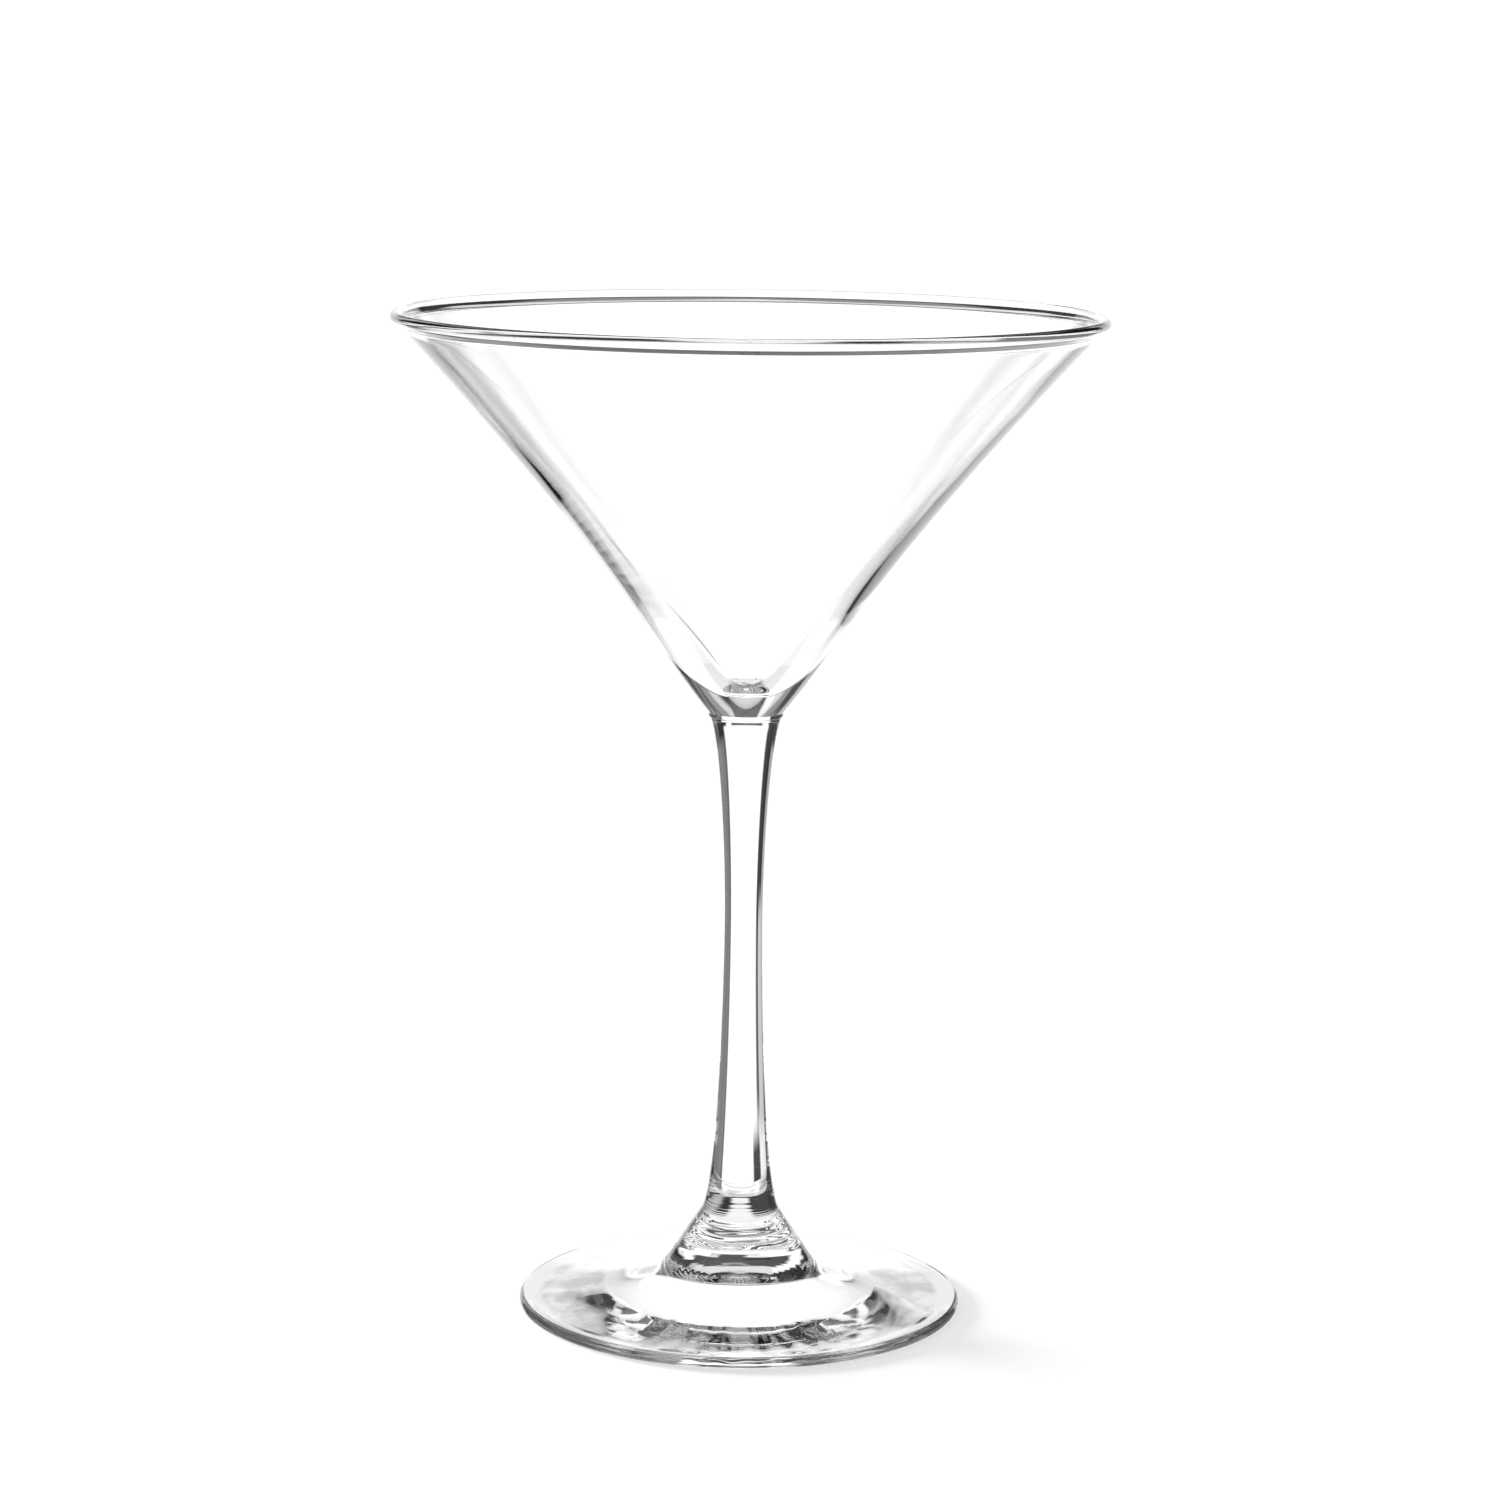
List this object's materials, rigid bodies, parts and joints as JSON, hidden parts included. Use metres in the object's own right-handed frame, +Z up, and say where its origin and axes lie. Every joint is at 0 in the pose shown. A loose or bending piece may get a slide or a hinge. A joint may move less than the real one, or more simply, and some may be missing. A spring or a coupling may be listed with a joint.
{
  "type": "martini glass",
  "caption": "Clear stemmed cocktail glass: a wide conical bowl with a rounded lip, a slender drawn stem and a round hubbed foot with a domed hollow underneath.",
  "frame": {"origin": "centre of the foot, in the plane the glass stands on", "axes": "+Z up along the stem, through the middle of the bowl; the glass is round, so X and Y are any two level directions"},
  "size_m": [0.1158, 0.1158, 0.165],
  "materials": {
    "bowl_glass": "clear, fire-polished",
    "stem_glass": "clear, drawn and fire-polished",
    "foot_glass": "clear, pressed, with faint turning rings on the hub"
  },
  "bodies": {
    "root": {"bowl": "bowl_glass", "stem": "stem_glass", "foot": "foot_glass"}
  },
  "joints": []
}
